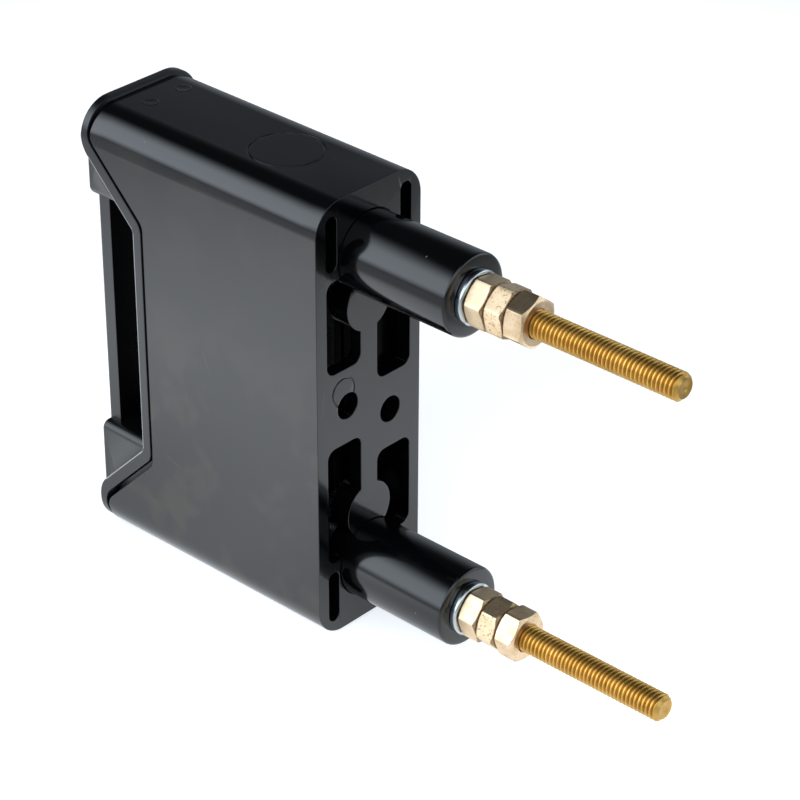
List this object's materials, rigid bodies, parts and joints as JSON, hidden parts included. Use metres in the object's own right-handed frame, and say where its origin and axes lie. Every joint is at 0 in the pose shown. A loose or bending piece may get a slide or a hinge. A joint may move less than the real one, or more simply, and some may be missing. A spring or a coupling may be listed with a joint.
{
  "type": "back stud connected fuse holder",
  "caption": "Panel-mounted cartridge fuse holder: black moulded housing with shrouded brass terminal studs out of its back and a pull-out fuse carrier with a finger grip.",
  "frame": {"origin": "centre of the flat mounting face at the back of the housing, midway between the two terminal studs", "axes": "+Y out of the mounting face along the terminal studs, so the carrier pulls out along -Y; +Z along the housing's long side, from the lower stud to the upper; +X across its width"},
  "size_m": [0.0324, 0.152, 0.1057],
  "materials": {
    "housing": "gloss",
    "carrier": "satin",
    "stud_brass": "satin",
    "nut_brass": "polished",
    "screw_brass": "satin",
    "cap_brass": "polished",
    "tinned_copper": "satin",
    "zinc_steel": "polished",
    "spring_steel": "satin",
    "ceramic": "gloss",
    "silver": "polished"
  },
  "bodies": {
    "base": {"base_moulding": "housing", "upper_stud_shroud": "housing", "upper_stud": "stud_brass", "upper_washer": "zinc_steel", "upper_lock_nut": "nut_brass", "upper_inner_terminal_nut": "nut_brass", "upper_contact_jaw": "tinned_copper", "upper_jaw_spring": "spring_steel", "lower_stud_shroud": "housing", "lower_stud": "stud_brass", "lower_washer": "zinc_steel", "lower_lock_nut": "nut_brass", "lower_inner_terminal_nut": "nut_brass", "lower_contact_jaw": "tinned_copper", "lower_jaw_spring": "spring_steel"},
    "carrier": {"carrier_moulding": "carrier", "upper_contact_blade": "tinned_copper", "upper_blade_screw": "screw_brass", "upper_captive_nut": "screw_brass", "upper_clamp_screw": "screw_brass", "upper_spring_washer": "spring_steel", "upper_fuse_cap": "cap_brass", "upper_fuse_tag": "tinned_copper", "lower_contact_blade": "tinned_copper", "lower_blade_screw": "screw_brass", "lower_captive_nut": "screw_brass", "lower_clamp_screw": "screw_brass", "lower_spring_washer": "spring_steel", "lower_fuse_cap": "cap_brass", "lower_fuse_tag": "tinned_copper", "fuse_barrel": "ceramic", "fuse_element": "silver"},
    "upper_outer_nut": {"upper_outer_terminal_nut": "nut_brass"},
    "lower_outer_nut": {"lower_outer_terminal_nut": "nut_brass"}
  },
  "joints": [
    {"name": "carrier_slide", "type": "slide", "parent": "base", "child": "carrier", "axis": [0, -1, 0], "range_m": [0, 0.06]},
    {"name": "upper_nut_slide", "type": "slide", "parent": "base", "child": "upper_outer_nut", "axis": [0, 1, 0], "range_m": [0, 0.036]},
    {"name": "lower_nut_slide", "type": "slide", "parent": "base", "child": "lower_outer_nut", "axis": [0, 1, 0], "range_m": [0, 0.036]}
  ]
}
